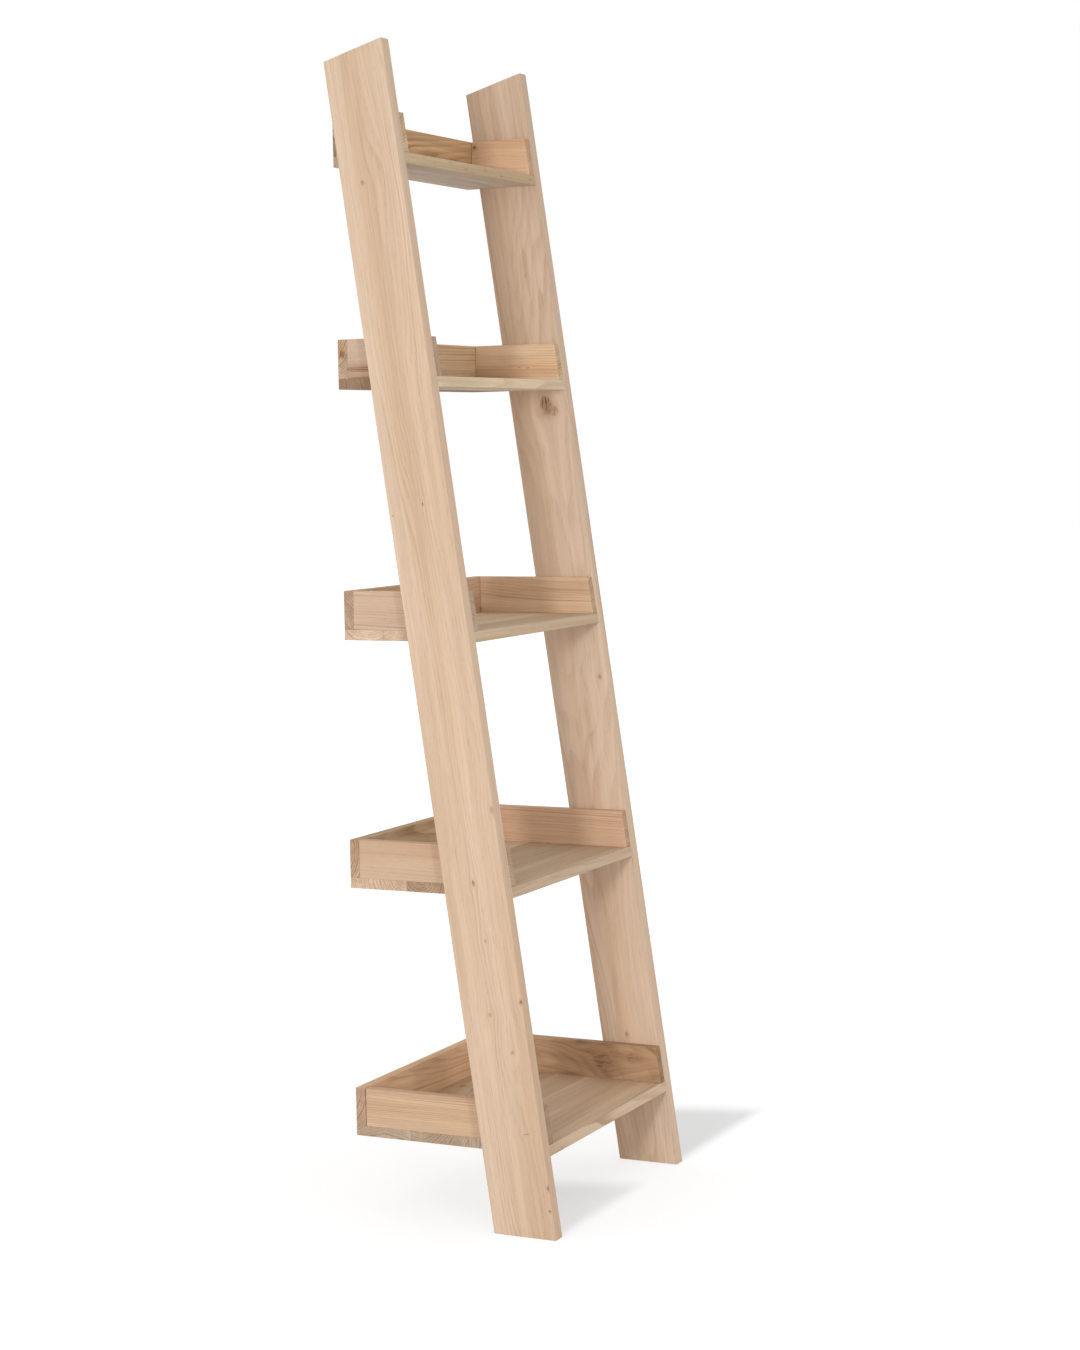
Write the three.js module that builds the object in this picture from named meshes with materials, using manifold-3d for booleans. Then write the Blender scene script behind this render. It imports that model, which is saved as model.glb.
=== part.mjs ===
// A ladder shelf: two flat rails that lean on a wall, and five open-fronted trays glued and dowelled between them.
//
// Millimetres. X is the width, +Y points to the wall and +Z is up, so the front faces -Y. The origin is the middle of the
// footprint, on the floor. Every wooden board is a prism along X: a side outline in (y, z), pushed out sideways.

import * as THREE from "three";
import { mergeVertices } from "three/addons/utils/BufferGeometryUtils.js";
import Module from "manifold-3d";

// Overall size.
const WIDTH = 480;
const DEPTH = 350;
const HEIGHT = 1780;

// Rails. The foot's depth is measured along the floor. The top cut falls to the wall by TOP_FALL.
const RAIL_THICKNESS = 22;
const FOOT_DEPTH = 103;
const TOP_FALL = 28.5;

// Trays, from the bottom one up: the height of each underside above the floor.
const TRAY_HEIGHTS = [121, 507, 888, 1267, 1598];
const BOARD_THICKNESS = 16;
const LIP_THICKNESS = 16;
const LIP_HEIGHT = 59;
const LIP_SETBACK = 1; // the side lips' front ends stand this far behind the board's front edge
const LIP_GAP = 0.3; // between a side lip and the back lip
const BOTTOM_LIP_GAP = 0.9; // the same on the bottom tray, where the wood has shrunk further

// Hidden dowels, two in each end of each board.
const DOWEL_RADIUS = 4;
const DOWEL_LENGTH = 30;
const DOWEL_CHAMFER = 1;
const DOWEL_IN_RAIL = 13;
const DOWEL_SIDES = 12;
const DOWEL_PLACES = { front: 24, back: 79 }; // how far behind the board's front edge
const GLUE_GAP = 0.3; // all round a dowel
const HOLE_SPARE = 1; // a hole is this much deeper than its dowel

// Worked out from those.
const FRONT = -DEPTH / 2;
const WALL = DEPTH / 2;
const LEAN = (DEPTH - FOOT_DEPTH) / (HEIGHT - TOP_FALL); // run towards the wall for each millimetre of height
const RAIL_INNER = WIDTH / 2 - RAIL_THICKNESS;
const LIP_INNER = RAIL_INNER - LIP_THICKNESS;
const BACK_LIP_FRONT = WALL - LIP_THICKNESS;
const TRAY_HEIGHT = BOARD_THICKNESS + LIP_HEIGHT;
const HOLE_RADIUS = DOWEL_RADIUS + GLUE_GAP;
const HOLE_END_IN_BOARD = RAIL_INNER - (DOWEL_LENGTH - DOWEL_IN_RAIL) - HOLE_SPARE;
const HOLE_END_IN_RAIL = RAIL_INNER + DOWEL_IN_RAIL + HOLE_SPARE;
const SIDES = { left: -1, right: 1 };

const wasm = await Module();
wasm.setup();

const railOak = new THREE.MeshStandardMaterial({ color: 0xdcbea2, roughness: 0.62, metalness: 0, flatShading: true });
const trayOak = new THREE.MeshStandardMaterial({ color: 0xc9a985, roughness: 0.66, metalness: 0, flatShading: true });
const boardOak = new THREE.MeshStandardMaterial({ color: 0xbfa286, roughness: 0.68, metalness: 0, flatShading: true });
const beech = new THREE.MeshStandardMaterial({ color: 0xd9b88f, roughness: 0.7, metalness: 0, flatShading: true });

// The front edge of the rails, and of every board, at a height above the floor.
function frontAt(height) {
  return FRONT + height * LEAN;
}

// A prism along X between two places, with a side outline given as [y, z] points.
function prism(outline, from, to) {
  const shape = new THREE.Shape(outline.map(([y, z]) => new THREE.Vector2(y, z)));
  const geometry = new THREE.ExtrudeGeometry(shape, { depth: to - from, bevelEnabled: false });
  const axes = new THREE.Matrix4().makeBasis(
    new THREE.Vector3(0, 1, 0),
    new THREE.Vector3(0, 0, 1),
    new THREE.Vector3(1, 0, 0),
  );
  return geometry.applyMatrix4(axes.setPosition(from, 0, 0));
}

function toSolid(geometry) {
  const bare = geometry.clone();
  bare.deleteAttribute("normal");
  bare.deleteAttribute("uv");
  const merged = mergeVertices(bare, 1e-3);
  return new wasm.Manifold(
    new wasm.Mesh({
      numProp: 3,
      vertProperties: merged.attributes.position.array,
      triVerts: new Uint32Array(merged.index.array),
    }),
  );
}

function toGeometry(solid) {
  const mesh = solid.getMesh();
  const geometry = new THREE.BufferGeometry();
  geometry.setAttribute("position", new THREE.BufferAttribute(mesh.vertProperties, mesh.numProp));
  geometry.setIndex(new THREE.BufferAttribute(mesh.triVerts, 1));
  return geometry;
}

// A cylinder along X that a dowel hole is cut with, between two places on X.
function holeCutter(y, z, from, to) {
  const length = Math.abs(to - from);
  const cutter = new THREE.CylinderGeometry(HOLE_RADIUS, HOLE_RADIUS, length, DOWEL_SIDES);
  return cutter.rotateZ(Math.PI / 2).translate((from + to) / 2, y, z);
}

// Prisms that meet end to end become one solid, and then the holes are cut.
function joinedAndCut(prisms, cutters) {
  const whole = prisms.map(toSolid).reduce((solid, next) => solid.add(next));
  return toGeometry(cutters.reduce((solid, cutter) => solid.subtract(toSolid(cutter)), whole));
}

function named(name, geometry, material) {
  const mesh = new THREE.Mesh(geometry, material);
  mesh.name = name;
  return mesh;
}

// The dowels' centres in one tray, as { place, y, z } with z above the floor.
function dowelCentres(trayHeight) {
  const z = trayHeight + BOARD_THICKNESS / 2;
  return Object.entries(DOWEL_PLACES).map(([place, inset]) => ({ place, y: frontAt(z) + inset, z }));
}

function makeRail(side) {
  const outline = [
    [FRONT, 0],
    [FRONT + FOOT_DEPTH, 0],
    [WALL, HEIGHT - TOP_FALL],
    [frontAt(HEIGHT), HEIGHT],
  ];
  const sign = SIDES[side];
  const [low, high] = [sign * RAIL_INNER, (sign * WIDTH) / 2].sort((a, b) => a - b);
  const cutters = TRAY_HEIGHTS.flatMap(dowelCentres).map(({ y, z }) =>
    // The cutter starts a little inside the tray, so that it opens the rail's inner face cleanly.
    holeCutter(y, z, sign * (RAIL_INNER - 1), sign * HOLE_END_IN_RAIL),
  );
  return named(`rail_${side}`, joinedAndCut([prism(outline, low, high)], cutters), railOak);
}

// The pieces of a tray are made with z above the tray's underside, and the tray's group lifts them into place.
// A board is joined from the strips under the three lips and the part between them, so that the clear floor of the tray
// is a face of its own.
function makeBoard(tray, height) {
  const beforeBackLip = [
    [frontAt(height), 0],
    [BACK_LIP_FRONT, 0],
    [BACK_LIP_FRONT, BOARD_THICKNESS],
    [frontAt(height + BOARD_THICKNESS), BOARD_THICKNESS],
  ];
  const underBackLip = [
    [BACK_LIP_FRONT, 0],
    [WALL, 0],
    [WALL, BOARD_THICKNESS],
    [BACK_LIP_FRONT, BOARD_THICKNESS],
  ];
  const prisms = [
    prism(beforeBackLip, -RAIL_INNER, -LIP_INNER),
    prism(beforeBackLip, -LIP_INNER, LIP_INNER),
    prism(beforeBackLip, LIP_INNER, RAIL_INNER),
    prism(underBackLip, -RAIL_INNER, RAIL_INNER),
  ];
  const cutters = Object.values(SIDES).flatMap((sign) =>
    dowelCentres(height).map(({ y, z }) =>
      holeCutter(y, z - height, sign * HOLE_END_IN_BOARD, sign * (RAIL_INNER + 1)),
    ),
  );
  return named(`${tray}_board`, joinedAndCut(prisms, cutters), boardOak);
}

function makeBackLip(tray) {
  const outline = [
    [BACK_LIP_FRONT, BOARD_THICKNESS],
    [WALL, BOARD_THICKNESS],
    [WALL, TRAY_HEIGHT],
    [BACK_LIP_FRONT, TRAY_HEIGHT],
  ];
  return named(`${tray}_back_lip`, prism(outline, -RAIL_INNER, RAIL_INNER), trayOak);
}

function makeSideLip(tray, height, side, gap) {
  const back = BACK_LIP_FRONT - gap;
  const outline = [
    [frontAt(height + BOARD_THICKNESS) + LIP_SETBACK, BOARD_THICKNESS],
    [back, BOARD_THICKNESS],
    [back, TRAY_HEIGHT],
    [frontAt(height + TRAY_HEIGHT) + LIP_SETBACK, TRAY_HEIGHT],
  ];
  const [low, high] = [SIDES[side] * LIP_INNER, SIDES[side] * RAIL_INNER].sort((a, b) => a - b);
  return named(`${tray}_${side}_lip`, prism(outline, low, high), trayOak);
}

// A dowel lies along X, with its middle at the mesh's own position.
function makeDowel(name, sign, y, z) {
  const half = DOWEL_LENGTH / 2;
  const profile = [
    [0, -half],
    [DOWEL_RADIUS - DOWEL_CHAMFER, -half],
    [DOWEL_RADIUS, -half + DOWEL_CHAMFER],
    [DOWEL_RADIUS, half - DOWEL_CHAMFER],
    [DOWEL_RADIUS - DOWEL_CHAMFER, half],
    [0, half],
  ];
  const points = profile.map(([radius, along]) => new THREE.Vector2(radius, along));
  const dowel = named(name, new THREE.LatheGeometry(points, DOWEL_SIDES), beech);
  dowel.rotation.z = Math.PI / 2;
  dowel.position.set(sign * (RAIL_INNER + DOWEL_IN_RAIL - half), y, z);
  return dowel;
}

function makeTray(height, index) {
  const tray = `tray_${index + 1}`;
  const gap = index === 0 ? BOTTOM_LIP_GAP : LIP_GAP;
  const group = new THREE.Group();
  group.position.z = height;
  group.add(makeBoard(tray, height), makeBackLip(tray));
  for (const [side, sign] of Object.entries(SIDES)) {
    group.add(makeSideLip(tray, height, side, gap));
    for (const { place, y, z } of dowelCentres(height))
      group.add(makeDowel(`${tray}_${side}_${place}_dowel`, sign, y, z - height));
  }
  return group;
}

const shelf = new THREE.Group();
shelf.name = "ladder_shelf";
shelf.add(...Object.keys(SIDES).map(makeRail));
shelf.add(...TRAY_HEIGHTS.map(makeTray));

export default shelf;
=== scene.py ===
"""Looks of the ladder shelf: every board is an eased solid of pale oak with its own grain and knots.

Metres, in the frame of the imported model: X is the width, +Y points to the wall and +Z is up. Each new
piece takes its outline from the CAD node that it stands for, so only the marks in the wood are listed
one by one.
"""

import math
from dataclasses import dataclass

import bpy
from mathutils import Matrix, Vector, geometry, noise


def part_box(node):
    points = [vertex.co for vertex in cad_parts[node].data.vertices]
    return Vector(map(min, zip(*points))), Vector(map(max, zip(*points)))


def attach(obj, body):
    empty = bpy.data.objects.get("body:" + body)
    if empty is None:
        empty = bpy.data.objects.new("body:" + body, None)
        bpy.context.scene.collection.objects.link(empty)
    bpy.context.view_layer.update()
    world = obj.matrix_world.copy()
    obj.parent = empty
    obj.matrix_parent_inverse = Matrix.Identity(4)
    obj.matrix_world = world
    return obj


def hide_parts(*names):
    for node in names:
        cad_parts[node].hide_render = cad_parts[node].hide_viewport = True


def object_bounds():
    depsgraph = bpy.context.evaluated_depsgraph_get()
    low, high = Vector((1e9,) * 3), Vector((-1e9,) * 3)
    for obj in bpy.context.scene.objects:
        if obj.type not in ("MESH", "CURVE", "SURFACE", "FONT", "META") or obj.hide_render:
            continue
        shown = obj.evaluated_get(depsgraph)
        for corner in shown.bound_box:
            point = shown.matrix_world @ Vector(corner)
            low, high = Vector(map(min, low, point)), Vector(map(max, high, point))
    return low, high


# Camera: where it stands, how it is turned, and its lens.
CAMERA_PLACE = (-3.7455, -1.8818, 1.1793)
CAMERA_TURN_DEG = (85.089, 1.037, -64.0)
CAMERA_LENS_MM = 71.57
CAMERA_SENSOR_MM = 36

# Light, where 1 is the brightness of white paper. The camera sees white behind and below the shelf, and
# the shelf itself is lit by a dimmer room, as in a studio whose backdrop is overexposed.
ROOM_SEEN = 1.0
ROOM_LIGHT = 0.87
KEY_PLACE = (-4.6, -0.72, 1.45)
KEY_SIZE = 0.45
KEY_POWER = 62
FILL_PLACE = (-3.4, -3.6, 0.9)
FILL_SIZE = 0.5
FILL_POWER = 44

# Floor. What the camera sees of it is partly lit and partly glowing, and to the shelf it is a plain
# grey.
FLOOR_REACH = 30
FLOOR_GREY = 0.74
FLOOR_SEEN = 0.3
FLOOR_GLOW_NEAR = 0.745
FLOOR_GLOW_FAR = 0.86
GLOW_FROM = 0.7  # distance from the shelf at which the floor starts to fade into the backdrop
GLOW_TO = 2.6
FOOT_SHADOWS = {
    # how much darker the floor is made to the right of each foot, and how far
    "rail_left": (0.175, 0.305),
    "rail_right": (0.27, 0.365),
}
FOOT_SHADOW_SOFTNESS = 0.025
FOOT_SHADOW_LEAN = 0.45  # its back edge runs back as it goes out, because the rail leans
FOOT_SHADOW_SKEW = 0.3  # its end is this much nearer the foot for each metre back

# Eased edges.
CORNER_RADIUS = 0.0010  # along the grain of a board, and at a rail's corners
END_EASING = 0.0007  # where a side face meets a rounded one
EASING_WANDER = 0.3  # hand sanding leaves the easing this much wider or narrower
EASING_CYCLES = 9  # for each metre
EASING_SEED_STEP = 5
ARC_STEPS = 3
RUN_STEP = 0.055  # distance between two sections of a long edge
STRAIGHT = 0.01  # an outline that turns less than this at a point has no corner there

# Dowels and their holes.
HOLE_GAP = 0.0003
HOLE_SPARE = 0.001
HOLE_SIDES = 24
DOWEL_FLUTES = 18
FLUTE_DEPTH = 0.00035
DOWEL_CHAMFER = 0.001

# Noise in the oak: its cycles for each metre along, across and through the grain.
STRETCH = {
    "wander": (1.7, 13, 13),
    "ripple": (6, 45, 45),
    "patches": (2.4, 30, 30),
    "bands": (0.8, 20, 20),
    "streaks": (3.2, 95, 95),
    "fibres": (9, 520, 520),
    "pores": (55, 1500, 1500),
}
SEED_STEP = (1.7, 2.3, 3.1)  # how far one step of the seed moves that noise

# Where that noise, which lies round 0.5, goes from none of its effect to all of it.
PATCH_EDGE = (0.38, 0.64)
BAND_EDGE = (0.36, 0.64)
FIBRE_EDGE = (0.3, 0.7)
PORE_EDGE = (0.56, 0.7)

# Rings of the oak.
RIPPLE_DEPTH = 0.0045
UNEVEN_CYCLES = 60  # for each metre of radius
UNEVEN_RINGS = 2.2
EARLY_RISE = (0.0, 0.1)  # the early wood of a ring, as parts of the ring
EARLY_FALL = (0.14, 0.75)
PORES_IN_EARLY = (0.05, 0.6)
FEWEST_PORES = 0.2
FAINTEST_RING = 0.3
FAINTEST_PATCH = 0.2
END_CONTRAST = 1.15
SAP_EDGE = (-0.0015, 0.0025)

# Tone, roughness and relief of the oak.
LINE_COVER = 0.75
SAP_COVER = 0.55
STREAK_TONE = 0.07
FIBRE_TONE = 0.04
PORE_TONE = -0.11
END_TONE = -0.18
OAK_ROUGHNESS = 0.66
LINE_ROUGHNESS = 0.08
PORE_ROUGHNESS = 0.12
END_ROUGHNESS = 0.08
OAK_SPECULAR = 0.22
PORE_HEIGHT = -0.00010
FIBRE_HEIGHT = 0.00005
LINE_HEIGHT = -0.00004
FACING = (0.6, 0.95)  # a surface turns toward a direction as the cosine between them goes through this

# Knots. Distances are in the knot's own radius.
KNOT_RAGGED = 0.9
KNOT_EDGE = (0.65, 1.05)
HALO_EDGE = (0.8, 2.4)
HALO_COVER = 0.4
CRACK_EDGE = (0.5, 0.58)
RAGGED_STRETCH = (1.3, 1.3, 1.3)
CRACK_STRETCH = (0.7, 3.4, 3.4)
GRAIN_BENDS = [
    # how fast a bend dies out with the square of the distance, and how far it pulls the grain
    (0.22, 0.6),
    (0.02, 0.3),
]

# Staves.
MOST_JOINTS = 3
FAR_AWAY = 9.0  # where a joint or sapwood that a board doesn't have is put
GLUE_EDGE = (0.0001, 0.0006)
GLUE_COVER = 0.6
STAVE_STEP = 1.3  # how far along its log the next stave was cut
STAVE_SHIFT = 0.05  # the most that its log lies further across
STAVE_LIFT = 0.03  # and further through
GREEN_POWER = 1.2  # a darker stave is a warmer one
BLUE_POWER = 1.4

TRAYS = [f"tray_{number}" for number in range(1, 6)]
SIDES = ("left", "right")
PLACES = ("front", "back")
RAILS = [f"rail_{side}" for side in SIDES]
DOWELS = [f"{tray}_{side}_{place}_dowel" for tray in TRAYS for side in SIDES for place in PLACES]


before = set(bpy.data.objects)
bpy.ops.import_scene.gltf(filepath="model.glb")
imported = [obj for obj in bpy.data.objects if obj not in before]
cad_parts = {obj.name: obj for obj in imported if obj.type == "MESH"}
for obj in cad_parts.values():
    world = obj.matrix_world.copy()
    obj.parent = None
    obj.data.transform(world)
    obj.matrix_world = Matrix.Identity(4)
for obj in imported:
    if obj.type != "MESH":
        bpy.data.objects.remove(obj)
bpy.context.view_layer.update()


# ---------------------------------------------------------------- shader graphs


class Graph:
    """Adds shader nodes to a tree. A socket given a value is set, and one given a socket is linked."""

    def __init__(self, tree):
        self.tree = tree

    def add(self, kind, sockets=None, **settings):
        made = self.tree.nodes.new(kind)
        for name, value in settings.items():
            setattr(made, name, value)
        for key, value in (sockets or {}).items():
            if isinstance(value, bpy.types.NodeSocket):
                self.tree.links.new(value, made.inputs[key])
            else:
                made.inputs[key].default_value = value
        return made

    def math(self, operation, *values):
        return self.add("ShaderNodeMath", dict(enumerate(values)), operation=operation).outputs[0]

    def total(self, *values):
        result = values[0]
        for value in values[1:]:
            result = self.math("ADD", result, value)
        return result

    def times(self, *values):
        result = values[0]
        for value in values[1:]:
            result = self.math("MULTIPLY", result, value)
        return result

    def vector(self, operation, *values):
        return self.add("ShaderNodeVectorMath", dict(enumerate(values)), operation=operation).outputs[0]

    def dot(self, a, b):
        return self.add("ShaderNodeVectorMath", {0: a, 1: b}, operation="DOT_PRODUCT").outputs["Value"]

    def scaled(self, vector, factor):
        return self.add("ShaderNodeVectorMath", {0: vector, "Scale": factor}, operation="SCALE").outputs[0]

    def noise(self, vector, stretch, detail=2.0, roughness=0.5):
        """Noise round 0.5, with its cycles for each unit along, across and through."""
        placed = self.vector("MULTIPLY", vector, stretch)
        sockets = {"Vector": placed, "Scale": 1.0, "Detail": detail, "Roughness": roughness}
        return self.add("ShaderNodeTexNoise", sockets).outputs[0]

    def remap(self, value, low, high, to_low=0.0, to_high=1.0):
        sockets = {0: value, 1: low, 2: high, 3: to_low, 4: to_high}
        return self.add("ShaderNodeMapRange", sockets, interpolation_type="SMOOTHSTEP").outputs[0]

    def falling(self, value, low, high):
        return self.remap(value, low, high, 1.0, 0.0)

    def mix(self, factor, a, b, blend="MIX"):
        sockets = {0: factor, 6: a, 7: b}
        return self.add("ShaderNodeMix", sockets, data_type="RGBA", blend_type=blend).outputs[2]

    def join(self, x, y, z):
        return self.add("ShaderNodeCombineXYZ", {0: x, 1: y, 2: z}).outputs[0]

    def split(self, vector):
        return self.add("ShaderNodeSeparateXYZ", {0: vector}).outputs

    def group(self, tree, sockets):
        return self.add("ShaderNodeGroup", sockets, node_tree=tree).outputs


def make_group(name, inputs, outputs):
    """An empty node group, its graph and its two ends.

    Inputs are (name, kind, default) and outputs are (name, kind).
    """
    tree = bpy.data.node_groups.new(name, "ShaderNodeTree")
    for label, kind, default in inputs:
        socket = tree.interface.new_socket(label, in_out="INPUT", socket_type=f"NodeSocket{kind}")
        socket.default_value = default
    for label, kind in outputs:
        tree.interface.new_socket(label, in_out="OUTPUT", socket_type=f"NodeSocket{kind}")
    graph = Graph(tree)
    return tree, graph, graph.add("NodeGroupInput").outputs, graph.add("NodeGroupOutput").inputs


def rgb(red, green, blue):
    """A colour from its 0 to 255 screen values."""

    def linear(value):
        value /= 255
        return value / 12.92 if value <= 0.04045 else ((value + 0.055) / 1.055) ** 2.4

    return (linear(red), linear(green), linear(blue), 1.0)


def grey(value):
    return (value, value, value, 1.0)


PALE = {"Light": rgb(207, 182, 160), "Band": rgb(198, 169, 144), "Line": rgb(180, 148, 121)}
TAN = {"Light": rgb(206, 176, 146), "Band": rgb(194, 160, 127), "Line": rgb(160, 121, 86)}
DRIFT = {"Light": rgb(201, 178, 153), "Band": rgb(188, 162, 135), "Line": rgb(158, 131, 105)}
BEECH = {"Light": rgb(216, 185, 150), "Band": rgb(210, 176, 138), "Line": rgb(196, 160, 122)}
SAPWOOD = rgb(222, 204, 178)
KNOT_WOOD = rgb(150, 116, 90)
KNOT_CRACK = rgb(84, 58, 40)
KNOT_HALO = rgb(214, 188, 168)
GLUE = rgb(120, 92, 68)


def make_oak_group():
    """Wood cut from a log: rings round a pith, pores in their early wood, and fibres along the grain.

    Grain is the place in the board's own frame: X along the grain, Y across the wide face, Z through the
    board. Pith is where the log's middle lies in it, and Tilt how far the pith drifts for each metre
    along. Sap is the radius where the pale sapwood starts, and End is 1 where the surface cuts across the
    grain.
    """
    inputs = [
        ("Grain", "Vector", (0, 0, 0)),
        ("Pith", "Vector", (0, 0, 0)),
        ("Tilt", "Vector", (0, 0, 0)),
        ("Seed", "Float", 0.0),
        ("Ring", "Float", 1.0),
        ("Wander", "Float", 0.0),
        ("Sap", "Float", FAR_AWAY),
        ("End", "Float", 0.0),
        ("Light", "Color", PALE["Light"]),
        ("Band", "Color", PALE["Band"]),
        ("Line", "Color", PALE["Line"]),
        ("Contrast", "Float", 1.0),
    ]
    outputs = [("Color", "Color"), ("Roughness", "Float"), ("Height", "Float")]
    tree, g, source, sink = make_group("oak", inputs, outputs)
    along, across, through = g.split(source["Grain"])
    pith = g.split(source["Pith"])
    tilt = g.split(source["Tilt"])
    seeded = g.vector("ADD", source["Grain"], g.scaled(SEED_STEP, source["Seed"]))
    cut = g.remap(source["End"], *FACING)

    # Rings: how far from the pith, in rings, and what part of a ring's early, porous wood this is.
    offset_y = g.math("SUBTRACT", g.math("SUBTRACT", across, pith[1]), g.times(along, tilt[1]))
    offset_z = g.math("SUBTRACT", g.math("SUBTRACT", through, pith[2]), g.times(along, tilt[2]))
    squares = g.total(g.times(offset_y, offset_y), g.times(offset_z, offset_z))
    wander = g.times(g.noise(seeded, STRETCH["wander"]), source["Wander"])
    ripple = g.times(g.noise(seeded, STRETCH["ripple"]), RIPPLE_DEPTH)
    radius = g.total(g.math("SQRT", squares), wander, ripple)
    by_radius = g.join(radius, source["Seed"], 0.0)
    uneven = g.times(g.noise(by_radius, (UNEVEN_CYCLES, 1, 1), detail=1), UNEVEN_RINGS)
    rings = g.total(g.math("DIVIDE", radius, source["Ring"]), uneven)
    phase = g.math("FRACT", rings)
    early = g.times(g.remap(phase, *EARLY_RISE), g.falling(phase, *EARLY_FALL))
    white = g.add("ShaderNodeTexWhiteNoise", {"W": g.math("FLOOR", rings)}, noise_dimensions="1D")
    ring_strength = g.remap(white.outputs["Value"], 0.0, 1.0, FAINTEST_RING, 1.0)
    patches = g.remap(g.noise(seeded, STRETCH["patches"], detail=3), *PATCH_EDGE, FAINTEST_PATCH, 1.0)
    strength = g.times(ring_strength, g.math("MAXIMUM", patches, cut))
    contrast = g.times(source["Contrast"], g.remap(cut, 0.0, 1.0, 1.0, END_CONTRAST))
    lines = g.math("MINIMUM", g.times(early, strength, contrast), 1.0)

    # Soft bands, streaks, fibres and pores, all drawn out along the grain.
    bands = g.remap(g.noise(seeded, STRETCH["bands"], detail=3), *BAND_EDGE)
    streaks = g.noise(seeded, STRETCH["streaks"], detail=3, roughness=0.6)
    fibres = g.noise(seeded, STRETCH["fibres"], detail=2, roughness=0.6)
    pore_noise = g.noise(seeded, STRETCH["pores"], detail=1)
    pores_there = g.remap(early, *PORES_IN_EARLY, FEWEST_PORES, 1.0)
    pores = g.times(g.remap(pore_noise, *PORE_EDGE), pores_there)
    sap = g.remap(g.math("SUBTRACT", radius, source["Sap"]), *SAP_EDGE)

    colour = g.mix(bands, source["Light"], source["Band"])
    colour = g.mix(g.times(lines, LINE_COVER), colour, source["Line"])
    colour = g.mix(g.times(sap, SAP_COVER), colour, SAPWOOD)
    streak_tone = g.remap(streaks, *FIBRE_EDGE, -STREAK_TONE, STREAK_TONE)
    fibre_tone = g.remap(fibres, *FIBRE_EDGE, -FIBRE_TONE, FIBRE_TONE)
    tone = g.times(g.total(streak_tone, fibre_tone), contrast)
    tone = g.total(1.0, tone, g.times(pores, PORE_TONE), g.times(cut, END_TONE))
    tree.links.new(g.scaled(colour, tone), sink["Color"])
    rough = g.total(OAK_ROUGHNESS, g.times(lines, LINE_ROUGHNESS), g.times(pores, PORE_ROUGHNESS))
    tree.links.new(g.total(rough, g.times(cut, END_ROUGHNESS)), sink["Roughness"])
    height = g.total(g.times(pores, PORE_HEIGHT), g.times(fibres, FIBRE_HEIGHT))
    tree.links.new(g.total(height, g.times(lines, LINE_HEIGHT)), sink["Height"])
    return tree


def make_knot_group():
    """Bends the grain round one knot, and says how much of the surface is knot, crack or halo.

    Centre is in the board's frame, Radius is across the grain, and Long is how much longer the knot is
    along it. The halo is the darker wood beside the knot.
    """
    inputs = [
        ("Grain", "Vector", (0, 0, 0)),
        ("Centre", "Vector", (0, 0, 0)),
        ("Radius", "Float", 1.0),
        ("Long", "Float", 1.0),
    ]
    outputs = [("Grain", "Vector"), ("Inside", "Float"), ("Crack", "Float"), ("Halo", "Float")]
    tree, g, source, sink = make_group("knot", inputs, outputs)
    away = g.vector("SUBTRACT", source["Grain"], source["Centre"])
    along, across, through = g.split(away)
    even = g.join(g.math("DIVIDE", along, source["Long"]), across, through)
    reach = g.math("DIVIDE", g.math("SQRT", g.dot(even, even)), source["Radius"])
    placed = g.scaled(even, g.math("DIVIDE", 1.0, source["Radius"]))
    ragged = g.math("SUBTRACT", g.noise(placed, RAGGED_STRETCH, detail=2), 0.5)
    edge = g.total(reach, g.times(ragged, KNOT_RAGGED))
    bends = [g.times(g.math("EXPONENT", g.times(reach, reach, -fast)), -far) for fast, far in GRAIN_BENDS]
    pull = g.times(across, g.total(*bends))
    tree.links.new(g.vector("ADD", source["Grain"], g.join(0.0, pull, 0.0)), sink["Grain"])
    inside = g.falling(edge, *KNOT_EDGE)
    tree.links.new(inside, sink["Inside"])
    strokes = g.noise(placed, CRACK_STRETCH, detail=2)
    tree.links.new(g.times(inside, g.remap(strokes, *CRACK_EDGE)), sink["Crack"])
    tree.links.new(g.falling(edge, *HALO_EDGE), sink["Halo"])
    return tree


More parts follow.
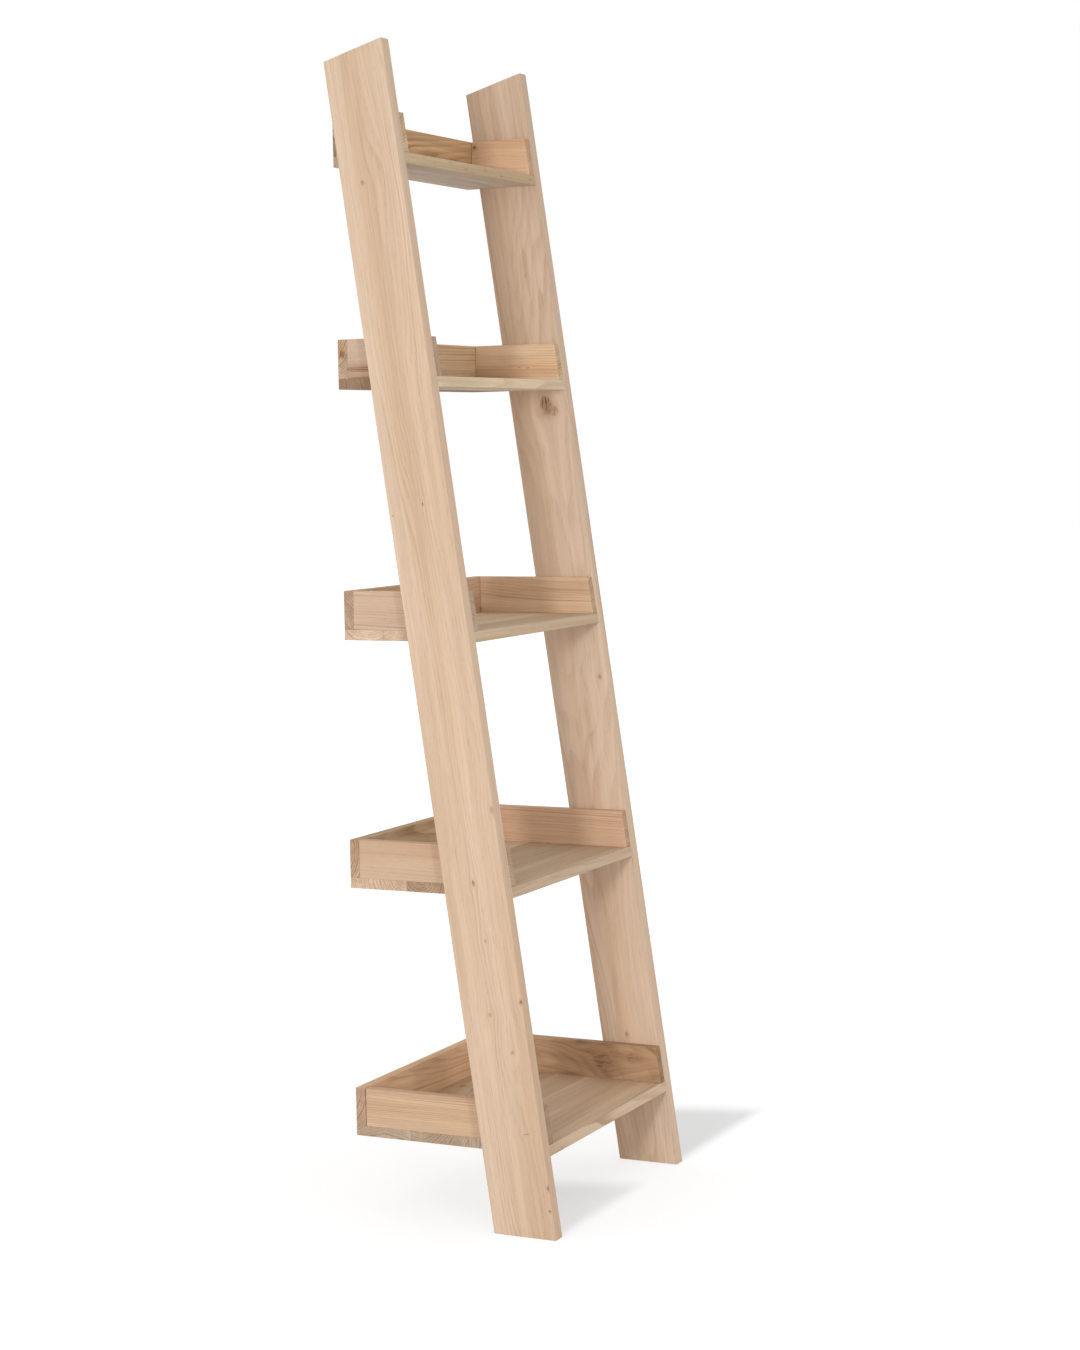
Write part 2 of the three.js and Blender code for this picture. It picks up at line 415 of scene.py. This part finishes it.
def make_stave_group():
    """Edge-glued staves of a board: each has its own grain, turned over or not, and its own tone.

    The joints are places across the board, in its own frame, and a tone goes with the stave behind each.
    """
    inputs = [
        ("Grain", "Vector", (0, 0, 0)),
        ("Joints", "Vector", (FAR_AWAY, FAR_AWAY, FAR_AWAY)),
        ("Tones", "Vector", (1, 1, 1)),
        ("Seed", "Float", 0.0),
    ]
    outputs = [("Grain", "Vector"), ("Tone", "Vector"), ("Glue", "Float")]
    tree, g, source, sink = make_group("staves", inputs, outputs)
    along, across, through = g.split(source["Grain"])
    number = 0.0
    glue = 0.0
    tone = 1.0
    for joint, behind in zip(g.split(source["Joints"]), g.split(source["Tones"])):
        past = g.math("GREATER_THAN", across, joint)
        number = g.total(number, past)
        tone = g.total(tone, g.times(past, g.math("SUBTRACT", behind, tone)))
        distance = g.math("ABSOLUTE", g.math("SUBTRACT", across, joint))
        glue = g.math("MAXIMUM", glue, g.falling(distance, *GLUE_EDGE))
    draw = {"Vector": g.join(number, source["Seed"], 0.5)}
    white = g.add("ShaderNodeTexWhiteNoise", draw, noise_dimensions="3D").outputs
    shift = g.split(white["Color"])
    turned = g.math("SUBTRACT", 1.0, g.times(2.0, g.math("MODULO", number, 2.0)))
    moved = g.join(
        g.total(along, g.times(number, STAVE_STEP)),
        g.total(across, g.remap(shift[0], 0.0, 1.0, -STAVE_SHIFT, STAVE_SHIFT)),
        g.total(g.times(through, turned), g.remap(shift[1], 0.0, 1.0, -STAVE_LIFT, STAVE_LIFT)),
    )
    tree.links.new(moved, sink["Grain"])
    warmer = g.join(tone, g.math("POWER", tone, GREEN_POWER), g.math("POWER", tone, BLUE_POWER))
    tree.links.new(warmer, sink["Tone"])
    tree.links.new(glue, sink["Glue"])
    return tree


OAK = make_oak_group()
KNOT = make_knot_group()
STAVES = make_stave_group()

# ---------------------------------------------------------------- the wood of each board


@dataclass
class Cut:
    """How one board was cut from its log. Lengths are metres in the board's frame."""

    tones: dict
    seed: float
    pith: tuple  # across and through
    tilt: tuple = (0.0, 0.0)
    ring: float = 0.0042
    wander: float = 0.02
    contrast: float = 1.0
    sap: float = FAR_AWAY
    # the board's tone: partly its own colour and partly painted light and shade, set board by board
    shade: tuple = (1.0, 1.0, 1.0)
    end_shade: tuple = (1.0, 1.0, 1.0)  # on top of the shade, where the surface cuts across the grain
    painted_underside_shade: tuple = (1.0, 1.0, 1.0)  # on top of the shade, where the surface faces down: painted shade, the greyer and cooler look of an underside lit from the floor
    fade: float = 0.0  # painted shade: how much darker the wood is made for each metre along the grain, as the light falls off toward one end
    trim: float = 0.0  # cut short at the back, which leaves an open joint there
    joints: tuple = ()  # across the board, front one first
    stave_tones: tuple = ()  # of the stave behind each joint, where the front stave's is 1
    knots: tuple = ()  # (centre in the model's frame, radius, length over width, darkness)


def shaded(colour, shade):
    return tuple(value * factor for value, factor in zip(colour, (*shade, 1.0)))


def grain_matrix(node, along, across):
    """The board's own frame: its origin is the middle of the CAD node's box."""
    low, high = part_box(node)
    along = Vector(along).normalized()
    across = Vector(across).normalized()
    turn = Matrix((along, across, along.cross(across))).transposed().to_4x4()
    return Matrix.Translation((low + high) / 2) @ turn


def add_knots(g, where, cut, to_board):
    """Where the grain is once every knot has bent it, and (the knot's outputs, darkness) of each."""
    marks = []
    for centre, radius, long, darkness in cut.knots:
        middle = tuple(to_board @ Vector(centre))
        knot = g.group(KNOT, {"Grain": where, "Centre": middle, "Radius": radius, "Long": long})
        where = knot["Grain"]
        marks.append((knot, darkness))
    return where, marks


def add_staves(g, where, cut):
    unused = MOST_JOINTS - len(cut.joints)
    joints = cut.joints + (FAR_AWAY,) * unused
    tones = cut.stave_tones + (1.0,) * unused
    return g.group(STAVES, {"Grain": where, "Joints": joints, "Tones": tones, "Seed": cut.seed})


def turned_shade(g, colour, cosine, shade):
    """The colour times a shade, as far as the surface faces a direction."""
    return g.mix(g.remap(cosine, *FACING), colour, (*shade, 1.0), "MULTIPLY")


def make_wood(name, grain, cut):
    """A material of oak for a board whose own frame is grain."""
    material = bpy.data.materials.new(name)
    material.use_nodes = True
    tree = material.node_tree
    tree.nodes.clear()
    g = Graph(tree)
    place = g.add("ShaderNodeTexCoord").outputs
    to_board = grain.inverted()
    sockets = {
        "Vector": place["Object"],
        "Location": tuple(to_board.translation),
        "Rotation": tuple(to_board.to_euler("XYZ")),
    }
    where = g.add("ShaderNodeMapping", sockets, vector_type="POINT").outputs[0]
    painted_slope_factor = g.math("SUBTRACT", 1.0, g.times(g.split(where)[0], cut.fade))
    where, marks = add_knots(g, where, cut, to_board)
    staves = None
    if cut.joints:
        staves = add_staves(g, where, cut)
        where = staves["Grain"]
    end = g.math("ABSOLUTE", g.dot(place["Normal"], tuple(grain.to_3x3().col[0])))
    under = g.dot(place["Normal"], (0.0, 0.0, -1.0))
    sockets = {
        "Grain": where,
        "End": end,
        "Pith": (0.0, *cut.pith),
        "Tilt": (0.0, *cut.tilt),
        "Seed": cut.seed,
        "Ring": cut.ring,
        "Wander": cut.wander,
        "Sap": cut.sap,
        "Contrast": cut.contrast,
        **{key: shaded(value, cut.shade) for key, value in cut.tones.items()},
    }
    oak = g.group(OAK, sockets)
    colour = turned_shade(g, oak["Color"], end, cut.end_shade)
    # painted shade: faces turned down are made greyer and cooler, as the floor's light shows them
    colour = turned_shade(g, colour, under, cut.painted_underside_shade)
    # painted shade: darker along the grain toward one end
    colour = g.scaled(colour, painted_slope_factor)
    if staves:
        colour = g.vector("MULTIPLY", colour, staves["Tone"])
        colour = g.mix(g.times(staves["Glue"], GLUE_COVER), colour, GLUE)
    for knot, darkness in marks:
        colour = g.mix(g.times(knot["Halo"], HALO_COVER * darkness), colour, KNOT_HALO, "MULTIPLY")
        colour = g.mix(g.times(knot["Inside"], darkness), colour, KNOT_WOOD)
        colour = g.mix(g.times(knot["Crack"], darkness), colour, KNOT_CRACK)
    bump = g.add("ShaderNodeBump", {"Strength": 1.0, "Distance": 1.0, "Height": oak["Height"]})
    sockets = {"Base Color": colour, "Roughness": oak["Roughness"], "Normal": bump.outputs[0]}
    shader = g.add("ShaderNodeBsdfPrincipled", sockets)
    shader.inputs["Specular IOR Level"].default_value = OAK_SPECULAR
    out = g.add("ShaderNodeOutputMaterial")
    tree.links.new(shader.outputs[0], out.inputs[0])
    return material


# ---------------------------------------------------------------- meshes


def side_outline(node):
    """The corners of a CAD node's side view as (y, z), anticlockwise seen from +X."""
    seen = sorted({(round(v.co.y, 6), round(v.co.z, 6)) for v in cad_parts[node].data.vertices})
    points = [Vector(p) for p in seen]
    hull = [points[i] for i in geometry.convex_hull_2d(points)]
    corners = []
    for i, point in enumerate(hull):
        before = (point - hull[i - 1]).normalized()
        after = (hull[(i + 1) % len(hull)] - point).normalized()
        if before.cross(after) > STRAIGHT:
            corners.append(point)
    return corners


def rounded(corners, radius):
    """(point, inward direction) round an outline with rounded corners and divided straight runs."""
    arcs = []
    for i, corner in enumerate(corners):
        to_last = (corners[i - 1] - corner).normalized()
        to_next = (corners[(i + 1) % len(corners)] - corner).normalized()
        half = to_last.angle(to_next) / 2
        centre = corner + (to_last + to_next).normalized() * (radius / math.sin(half))
        first = corner + to_last * (radius / math.tan(half)) - centre
        sweep = math.pi - 2 * half
        arc = []
        for step in range(ARC_STEPS + 1):
            turned = Matrix.Rotation(sweep * step / ARC_STEPS, 2) @ first
            arc.append((centre + turned, -turned.normalized()))
        arcs.append(arc)
    ring = []
    for i, arc in enumerate(arcs):
        ring += arc
        start, inward = arc[-1]
        stop = arcs[(i + 1) % len(arcs)][0][0]
        parts = max(1, round((corners[i] - corners[(i + 1) % len(corners)]).length / RUN_STEP))
        ring += [(start.lerp(stop, k / parts), inward) for k in range(1, parts)]
    return ring


def sanded(x, y, z, seed):
    """How much wider or narrower than usual the easing is at a place, as a factor."""
    x *= EASING_CYCLES
    y *= EASING_CYCLES
    z = z * EASING_CYCLES + seed * EASING_SEED_STEP
    return 1 + EASING_WANDER * noise.noise(Vector((x, y, z)))


def skin(name, rings):
    """A closed mesh through rings of points, each with the same count, capped at both ends."""
    count = len(rings[0])
    vertices = [point for ring in rings for point in ring]
    faces = [list(reversed(range(count)))]
    for row in range(len(rings) - 1):
        for k in range(count):
            a = row * count + k
            b = row * count + (k + 1) % count
            faces.append([a, b, b + count, a + count])
    faces.append([len(vertices) - count + k for k in range(count)])
    mesh = bpy.data.meshes.new(name)
    mesh.from_pydata(vertices, [], faces)
    return mesh


def eased_prism(node, seed, trim):
    """A new mesh with the CAD node's outline, pushed out along X, whose edges are eased by hand sanding."""
    low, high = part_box(node)
    corners = [Vector((min(corner.x, high.y - trim), corner.y)) for corner in side_outline(node)]
    parts = max(1, round((high.x - low.x) / RUN_STEP))
    stations = [(low.x, k, 1) for k in range(ARC_STEPS + 1)]
    stations += [(low.x + (high.x - low.x) * k / parts, None, 0) for k in range(1, parts)]
    stations += [(high.x, ARC_STEPS - k, -1) for k in range(ARC_STEPS + 1)]
    rings = []
    for x, step, sign in stations:
        ring = []
        for point, inward in rounded(corners, CORNER_RADIUS * sanded(x, 0, 0, seed)):
            inset = 0.0
            shift = 0.0
            if step is not None:
                easing = END_EASING * sanded(x, point.x, point.y, seed)
                angle = math.pi / 2 * step / ARC_STEPS
                inset = easing * (1 - math.sin(angle))
                shift = easing * (1 - math.cos(angle))
            spot = point + inward * inset
            ring.append((x + sign * shift, spot.x, spot.y))
        rings.append(ring)
    mesh = skin(node, rings)
    mesh.shade_smooth()
    return mesh


def add_object(name, mesh):
    made = bpy.data.objects.new(name, mesh)
    bpy.context.scene.collection.objects.link(made)
    return made


def round_bar(name, middle, length, radii, chamfer):
    """A bar along X whose radius repeats round it, chamfered at both ends."""
    half = length / 2
    rings = []
    for x, narrower in ((-half, chamfer), (chamfer - half, 0), (half - chamfer, 0), (half, chamfer)):
        ring = []
        for k, radius in enumerate(radii):
            angle = 2 * math.pi * k / len(radii)
            reach = radius - narrower
            ring.append(middle + Vector((x, reach * math.cos(angle), reach * math.sin(angle))))
        rings.append(ring)
    return skin(name, rings)


def dowel_facts(node):
    """The middle, length and radius of a dowel, from its CAD box."""
    low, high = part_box(node)
    return (low + high) / 2, high.x - low.x, (high.z - low.z) / 2


def drill(piece, dowels):
    """Cuts the holes of these dowels out of a piece."""
    cutters = []
    for node in dowels:
        middle, length, radius = dowel_facts(node)
        radii = [radius + HOLE_GAP] * HOLE_SIDES
        bar = round_bar(node + "_hole", middle, length + 2 * HOLE_SPARE, radii, HOLE_GAP)
        cutters.append(add_object(node + "_hole", bar))
    for cutter in cutters:
        modifier = piece.modifiers.new("drill", "BOOLEAN")
        modifier.operation = "DIFFERENCE"
        modifier.solver = "EXACT"
        modifier.object = cutter
    depsgraph = bpy.context.evaluated_depsgraph_get()
    drilled = bpy.data.meshes.new_from_object(piece.evaluated_get(depsgraph))
    piece.modifiers.clear()
    piece.data = drilled
    for cutter in cutters:
        bpy.data.objects.remove(cutter)


def make_board(node, grain, cut, dowels=()):
    """The eased and drilled piece that stands for a CAD node, with its wood."""
    piece = add_object("oak_" + node, eased_prism(node, cut.seed, cut.trim))
    if dowels:
        drill(piece, dowels)
    piece.data.materials.clear()
    piece.data.materials.append(make_wood(node, grain, cut))
    piece.modifiers.new("even shading", "WEIGHTED_NORMAL")
    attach(piece, "root")
    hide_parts(node)


def make_dowel(node, material):
    middle, length, radius = dowel_facts(node)
    radii = [radius - FLUTE_DEPTH * (k % 2) for k in range(2 * DOWEL_FLUTES)]
    piece = add_object("fluted_" + node, round_bar(node, middle, length, radii, DOWEL_CHAMFER))
    piece.data.materials.append(material)
    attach(piece, "root")
    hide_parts(node)


# ---------------------------------------------------------------- camera, light and floor


def make_camera():
    data = bpy.data.cameras.new("camera")
    data.lens = CAMERA_LENS_MM
    data.sensor_width = CAMERA_SENSOR_MM
    camera = bpy.data.objects.new("camera", data)
    camera.location = CAMERA_PLACE
    camera.rotation_euler = [math.radians(angle) for angle in CAMERA_TURN_DEG]
    bpy.context.scene.collection.objects.link(camera)
    bpy.context.scene.camera = camera


def make_softbox(name, place, target, size, power):
    data = bpy.data.lights.new(name, "AREA")
    data.shape = "DISK"
    data.size = size
    data.energy = power
    lamp = bpy.data.objects.new(name, data)
    lamp.location = place
    lamp.rotation_euler = (Vector(target) - Vector(place)).to_track_quat("-Z", "Y").to_euler()
    bpy.context.scene.collection.objects.link(lamp)


def seen_or_lighting(g, seen, lighting):
    """One shader for what the camera sees directly, and another for the light that reaches the shelf."""
    direct = g.add("ShaderNodeLightPath").outputs["Is Camera Ray"]
    return g.add("ShaderNodeMixShader", {0: direct, 1: lighting, 2: seen}).outputs[0]


def make_room():
    world = bpy.data.worlds.new("studio")
    world.use_nodes = True
    world.node_tree.nodes.clear()
    g = Graph(world.node_tree)
    seen = g.add("ShaderNodeBackground", {"Color": grey(1.0), "Strength": ROOM_SEEN}).outputs[0]
    lighting = g.add("ShaderNodeBackground", {"Color": grey(1.0), "Strength": ROOM_LIGHT}).outputs[0]
    g.add("ShaderNodeOutputWorld", {0: seen_or_lighting(g, seen, lighting)})
    bpy.context.scene.world = world


def foot_shadow(g, where, rail, depth, reach):
    """A soft shadow on the floor from a rail's foot toward +X."""
    low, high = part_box(rail)
    foot = [corner.x for corner in side_outline(rail) if corner.y - low.z < CORNER_RADIUS]
    soft = FOOT_SHADOW_SOFTNESS
    x, y, _ = g.split(where)
    out = g.math("SUBTRACT", x, high.x)
    beside = g.math("GREATER_THAN", out, 0.0)
    skewed = g.total(out, g.times(g.math("SUBTRACT", y, min(foot)), FOOT_SHADOW_SKEW))
    near = g.falling(skewed, reach - 2 * soft, reach + 2 * soft)
    behind = g.remap(y, min(foot) - soft / 2, min(foot) + soft)
    leaning = g.math("SUBTRACT", y, g.times(out, FOOT_SHADOW_LEAN))
    before = g.falling(leaning, max(foot) - 2 * soft, max(foot) + soft)
    return g.times(beside, near, behind, before, depth)


def make_floor():
    size = FLOOR_REACH
    mesh = bpy.data.meshes.new("floor")
    corners = [(-size, -size, 0), (size, -size, 0), (size, size, 0), (-size, size, 0)]
    mesh.from_pydata(corners, [], [(0, 1, 2, 3)])
    material = bpy.data.materials.new("floor")
    material.use_nodes = True
    material.node_tree.nodes.clear()
    g = Graph(material.node_tree)
    where = g.add("ShaderNodeTexCoord").outputs["Object"]
    distance = g.math("SQRT", g.dot(where, where))
    strength = g.remap(distance, GLOW_FROM, GLOW_TO, FLOOR_GLOW_NEAR, FLOOR_GLOW_FAR)
    for rail, (depth, reach) in FOOT_SHADOWS.items():
        strength = g.math("SUBTRACT", strength, foot_shadow(g, where, rail, depth, reach))
    glow = g.add("ShaderNodeEmission", {"Color": grey(1.0), "Strength": strength}).outputs[0]
    lit = g.add("ShaderNodeBsdfDiffuse", {"Color": grey(FLOOR_SEEN)}).outputs[0]
    seen = g.add("ShaderNodeAddShader", {0: lit, 1: glow}).outputs[0]
    lighting = g.add("ShaderNodeBsdfDiffuse", {"Color": grey(FLOOR_GREY)}).outputs[0]
    g.add("ShaderNodeOutputMaterial", {0: seen_or_lighting(g, seen, lighting)})
    mesh.materials.append(material)
    add_object("floor", mesh)


def make_studio():
    low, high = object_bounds()
    middle = (low + high) / 2
    make_room()
    make_floor()
    make_softbox("key", KEY_PLACE, middle, KEY_SIZE, KEY_POWER)
    make_softbox("fill", FILL_PLACE, middle, FILL_SIZE, FILL_POWER)
    bpy.context.scene.view_settings.view_transform = "Standard"


make_camera()
make_studio()

# ---------------------------------------------------------------- rails


def rail_lean():
    """Up the rails' front edge, and the y where that edge meets the floor."""
    corners = side_outline(RAILS[0])
    foot = min(corners, key=lambda p: (p.y, p.x))
    top = max(corners, key=lambda p: p.y)
    return Vector((0, top.x - foot.x, top.y - foot.y)).normalized(), foot.x


UP_RAIL, FOOT_FRONT = rail_lean()
OVER_RAIL = Vector((0, UP_RAIL.z, -UP_RAIL.y))


def on_rail(face_x, height, behind):
    """A point on a rail's side face, at a height and at a distance behind its front edge."""
    return (face_x, FOOT_FRONT + height * UP_RAIL.y / UP_RAIL.z + behind, height)


def rail_knots(face_x, marks):
    """Knots on a rail's side face, each given by its height and distance behind the front edge."""
    return tuple((on_rail(face_x, height, behind), *rest) for height, behind, *rest in marks)


NEAR_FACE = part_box("rail_left")[0].x
FAR_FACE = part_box("rail_right")[0].x

NEAR_MARKS = [
    # height, distance behind the front edge, radius, length over width, darkness
    (1.585, 0.036, 0.0050, 5.0, 0.12),
    (1.571, 0.062, 0.0028, 1.3, 0.5),
    (1.094, 0.044, 0.0010, 3.2, 1.0),
    (1.077, 0.097, 0.0009, 1.2, 1.0),
    (0.641, 0.003, 0.0035, 2.4, 0.3),
    (0.530, 0.052, 0.0028, 2.0, 0.55),
    (0.444, 0.046, 0.0024, 1.2, 0.3),
    (0.356, 0.001, 0.0024, 1.4, 0.8),
    (0.333, 0.056, 0.0036, 1.1, 0.28),
    (0.279, 0.027, 0.0030, 1.1, 0.38),
    (0.157, 0.024, 0.0034, 0.22, 0.6),
    (0.078, 0.001, 0.0022, 1.9, 0.6),
    (0.044, 0.003, 0.0016, 1.2, 1.0),
]
FAR_MARKS = [
    (1.460, 0.040, 0.0045, 11.0, 0.2),
    (0.720, 0.045, 0.0060, 9.0, 0.12),
    (1.245, 0.040, 0.0085, 1.75, 0.75),
    (1.232, 0.036, 0.0060, 1.5, 0.4),
    (0.799, 0.018, 0.0030, 1.5, 0.45),
    (0.210, 0.057, 0.0030, 1.6, 0.45),
]

# Both rails carry painted shade that darkens them toward the top.
RAIL_CUTS = {
    "rail_left": Cut(
        PALE,
        seed=3,
        pith=(-0.085, -0.05),
        tilt=(0.03, 0.01),
        wander=0.065,
        contrast=0.75,
        fade=0.02,
        shade=(0.99, 0.985, 0.95),
        knots=rail_knots(NEAR_FACE, NEAR_MARKS),
    ),
    "rail_right": Cut(
        PALE,
        seed=4,
        pith=(0.006, -0.07),
        tilt=(-0.006, 0.03),
        wander=0.05,
        contrast=0.75,
        fade=0.1,
        shade=(1.0, 1.0, 0.985),
        knots=rail_knots(FAR_FACE, FAR_MARKS),
    ),
}

for rail in RAILS:
    side = rail.split("_")[1]
    grain = grain_matrix(rail, UP_RAIL, OVER_RAIL)
    make_board(rail, grain, RAIL_CUTS[rail], [d for d in DOWELS if f"_{side}_" in d])

# ---------------------------------------------------------------- trays

GRAIN_AXES = {
    # piece of a tray: its slot, along the grain, and across it
    "board": ("board_oak", (1, 0, 0), (0, 1, 0)),
    "back_lip": ("lip_oak", (1, 0, 0), (0, 0, 1)),
    "left_lip": ("lip_oak", (0, 1, 0), (0, 0, 1)),
    "right_lip": ("lip_oak", (0, 1, 0), (0, 0, 1)),
}

LEFT_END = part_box("tray_1_back_lip")[0].x
RIGHT_LIP_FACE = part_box("tray_1_right_lip")[0].x
BOTTOM_BOARD_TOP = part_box("tray_1_board")[1].z

TOP_BOARD_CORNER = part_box("tray_5_board")[0]
SPECK_LENGTH = 2.8  # over its width
SPECK_DARKNESS = 0.85
TOP_BOARD_SPECKS = [
    # distance from the left end, height above the underside, radius
    (0.057, 0.012, 0.0014),
    (0.089, 0.007, 0.0010),
    (0.142, 0.013, 0.0016),
    (0.193, 0.006, 0.0012),
    (0.261, 0.010, 0.0016),
    (0.315, 0.005, 0.0012),
    (0.363, 0.012, 0.0010),
    (0.418, 0.008, 0.0014),
]

TRAY_CUTS = {
    "tray_1_board": Cut(
        DRIFT,
        seed=11,
        pith=(0.03, -0.06),
        tilt=(0.03, 0.04),
        shade=(1.06, 1.02, 0.98),
        end_shade=(1.12, 1.19, 1.32),
        joints=(-0.126, -0.028, 0.07),
        stave_tones=(0.98, 0.84, 0.92),
        # painted shade: darker toward the left end, in the near rail's shadow
        fade=-0.3,
        knots=(((0.067, 0.14, BOTTOM_BOARD_TOP), 0.005, 2.0, 0.6),),
    ),
    "tray_1_back_lip": Cut(
        TAN,
        seed=12,
        pith=(0.03, -0.04),
        tilt=(0.03, 0.06),
        contrast=0.95,
        shade=(1.22, 1.19, 1.18),
        end_shade=(0.8, 0.8, 0.87),
    ),
    "tray_1_left_lip": Cut(
        TAN,
        seed=13,
        pith=(0.12, -0.05),
        tilt=(0.01, 0.02),
        ring=0.0036,
        wander=0.04,
        contrast=0.9,
        shade=(1.0, 1.0, 1.02),
        end_shade=(0.8, 0.8, 0.8),
        trim=0.0009,
    ),
    "tray_1_right_lip": Cut(
        TAN,
        seed=14,
        pith=(0.0, -0.025),
        tilt=(0.02, 0.12),
        contrast=1.8,
        shade=(0.8, 0.76, 0.72),
        knots=(
            ((RIGHT_LIP_FACE, -0.104, 0.176), 0.009, 1.3, 0.4),
            ((RIGHT_LIP_FACE, -0.052, 0.168), 0.014, 1.5, 0.45),
            ((RIGHT_LIP_FACE, -0.015, 0.188), 0.008, 2.2, 0.45),
        ),
    ),
    "tray_2_board": Cut(
        DRIFT,
        seed=21,
        pith=(0.02, -0.06),
        tilt=(0.03, 0.03),
        shade=(0.96, 0.95, 0.92),
        end_shade=(1.01, 0.94, 0.91),
        joints=(-0.055, 0.041),
        stave_tones=(0.96, 1.34),
    ),
    "tray_2_back_lip": Cut(
        TAN,
        seed=22,
        pith=(0.02, -0.035),
        tilt=(0.04, 0.05),
        contrast=1.3,
        shade=(0.9, 0.96, 0.93),
        end_shade=(1.06, 0.98, 1.0),
    ),
    "tray_2_left_lip": Cut(
        TAN,
        seed=23,
        pith=(-0.2, -0.04),
        tilt=(0.02, 0.03),
        contrast=0.45,
        shade=(0.9, 0.89, 0.91),
    ),
    "tray_2_right_lip": Cut(
        TAN,
        seed=24,
        pith=(0.18, -0.06),
        tilt=(0.03, 0.02),
        contrast=0.9,
        shade=(0.98, 0.91, 0.9),
    ),
    "tray_3_board": Cut(
        DRIFT,
        seed=31,
        pith=(0.02, -0.05),
        tilt=(0.03, 0.03),
        contrast=0.65,
        shade=(0.95, 0.93, 0.88),
        end_shade=(1.15, 1.09, 1.13),
        joints=(-0.045, 0.045),
        stave_tones=(1.21, 1.23),
    ),
    "tray_3_back_lip": Cut(
        TAN,
        seed=32,
        pith=(-0.05, -0.05),
        tilt=(0.03, 0.04),
        shade=(0.96, 0.96, 0.96),
        end_shade=(0.9, 0.89, 1.0),
    ),
    "tray_3_left_lip": Cut(
        TAN,
        seed=33,
        pith=(-0.16, -0.05),
        tilt=(0.02, 0.05),
        contrast=0.8,
        shade=(0.95, 0.99, 1.12),
    ),
    "tray_3_right_lip": Cut(
        TAN,
        seed=34,
        pith=(0.08, -0.035),
        tilt=(0.06, 0.03),
        contrast=1.15,
        shade=(1.03, 1.04, 1.05),
        knots=(((RIGHT_LIP_FACE, 0.159, 0.91), 0.003, 1.2, 0.5),),
    ),
    "tray_4_board": Cut(
        DRIFT,
        seed=41,
        pith=(0.0, -0.05),
        tilt=(0.03, 0.03),
        contrast=0.8,
        shade=(1.24, 1.31, 1.33),
        end_shade=(1.03, 0.94, 0.95),
        joints=(0.02,),
        stave_tones=(0.5,),
    ),
    "tray_4_back_lip": Cut(
        TAN,
        seed=42,
        pith=(0.05, -0.035),
        tilt=(0.05, 0.05),
        contrast=1.3,
        shade=(1.15, 1.22, 1.22),
        end_shade=(0.8, 0.76, 0.8),
        knots=(((LEFT_END, 0.168, 1.320), 0.0036, 1.2, 2.0),),
    ),
    "tray_4_left_lip": Cut(
        TAN,
        seed=43,
        pith=(0.05, -0.03),
        tilt=(0.02, 0.05),
        contrast=0.35,
        sap=0.093,
        shade=(0.84, 0.87, 0.95),
        knots=(
            ((LEFT_END, 0.100, 1.297), 0.0055, 16.0, 0.6),
            ((LEFT_END, 0.125, 1.289), 0.0030, 12.0, 0.6),
        ),
    ),
    "tray_4_right_lip": Cut(
        TAN,
        seed=44,
        pith=(0.12, -0.05),
        tilt=(0.03, 0.02),
        sap=0.162,
        shade=(1.12, 1.12, 1.1),
        knots=(
            ((RIGHT_LIP_FACE, 0.063, 1.304), 0.0009, 3.0, 0.8),
            ((RIGHT_LIP_FACE, 0.079, 1.305), 0.0007, 3.0, 0.6),
        ),
    ),
    "tray_5_board": Cut(
        DRIFT,
        seed=51,
        pith=(0.03, -0.05),
        tilt=(0.03, 0.03),
        contrast=0.6,
        shade=(0.91, 0.89, 0.79),
        end_shade=(1.05, 1.08, 1.28),
        # painted shade: the underside greyer and bluer than the front edge, as the floor's light shows it
        painted_underside_shade=(1.12, 1.23, 1.53),
        joints=(0.01,),
        stave_tones=(1.03,),
        knots=tuple(
            (TOP_BOARD_CORNER + Vector((along, 0, up)), radius, SPECK_LENGTH, SPECK_DARKNESS)
            for along, up, radius in TOP_BOARD_SPECKS
        ),
    ),
    "tray_5_back_lip": Cut(
        TAN,
        seed=52,
        pith=(-0.015, -0.03),
        tilt=(0.05, 0.06),
        ring=0.006,
        contrast=2.0,
        shade=(0.91, 0.82, 0.68),
        end_shade=(0.9, 1.2, 1.7),
    ),
    "tray_5_left_lip": Cut(TAN, seed=53, pith=(0.1, -0.05), tilt=(0.05, 0.03), end_shade=(1.13, 1.2, 1.17)),
    "tray_5_right_lip": Cut(
        TAN,
        seed=54,
        pith=(0.1, -0.06),
        tilt=(0.05, 0.05),
        contrast=0.8,
        shade=(1.08, 1.02, 0.98),
        knots=(
            ((RIGHT_LIP_FACE, 0.153, 1.664), 0.003, 1.1, 1.0),
            ((RIGHT_LIP_FACE, 0.13, 1.622), 0.007, 1.6, 0.35),
        ),
    ),
}

for tray in TRAYS:
    for part, (slot, along, across) in GRAIN_AXES.items():
        node = f"{tray}_{part}"
        drilled = [d for d in DOWELS if d.startswith(tray)] if part == "board" else ()
        make_board(node, grain_matrix(node, along, across), TRAY_CUTS[node], drilled)

BEECH_CUT = Cut(BEECH, seed=77, pith=(0.05, 0.05), contrast=0.5)
beech = make_wood("beech", Matrix.Identity(4), BEECH_CUT)
for dowel in DOWELS:
    make_dowel(dowel, beech)
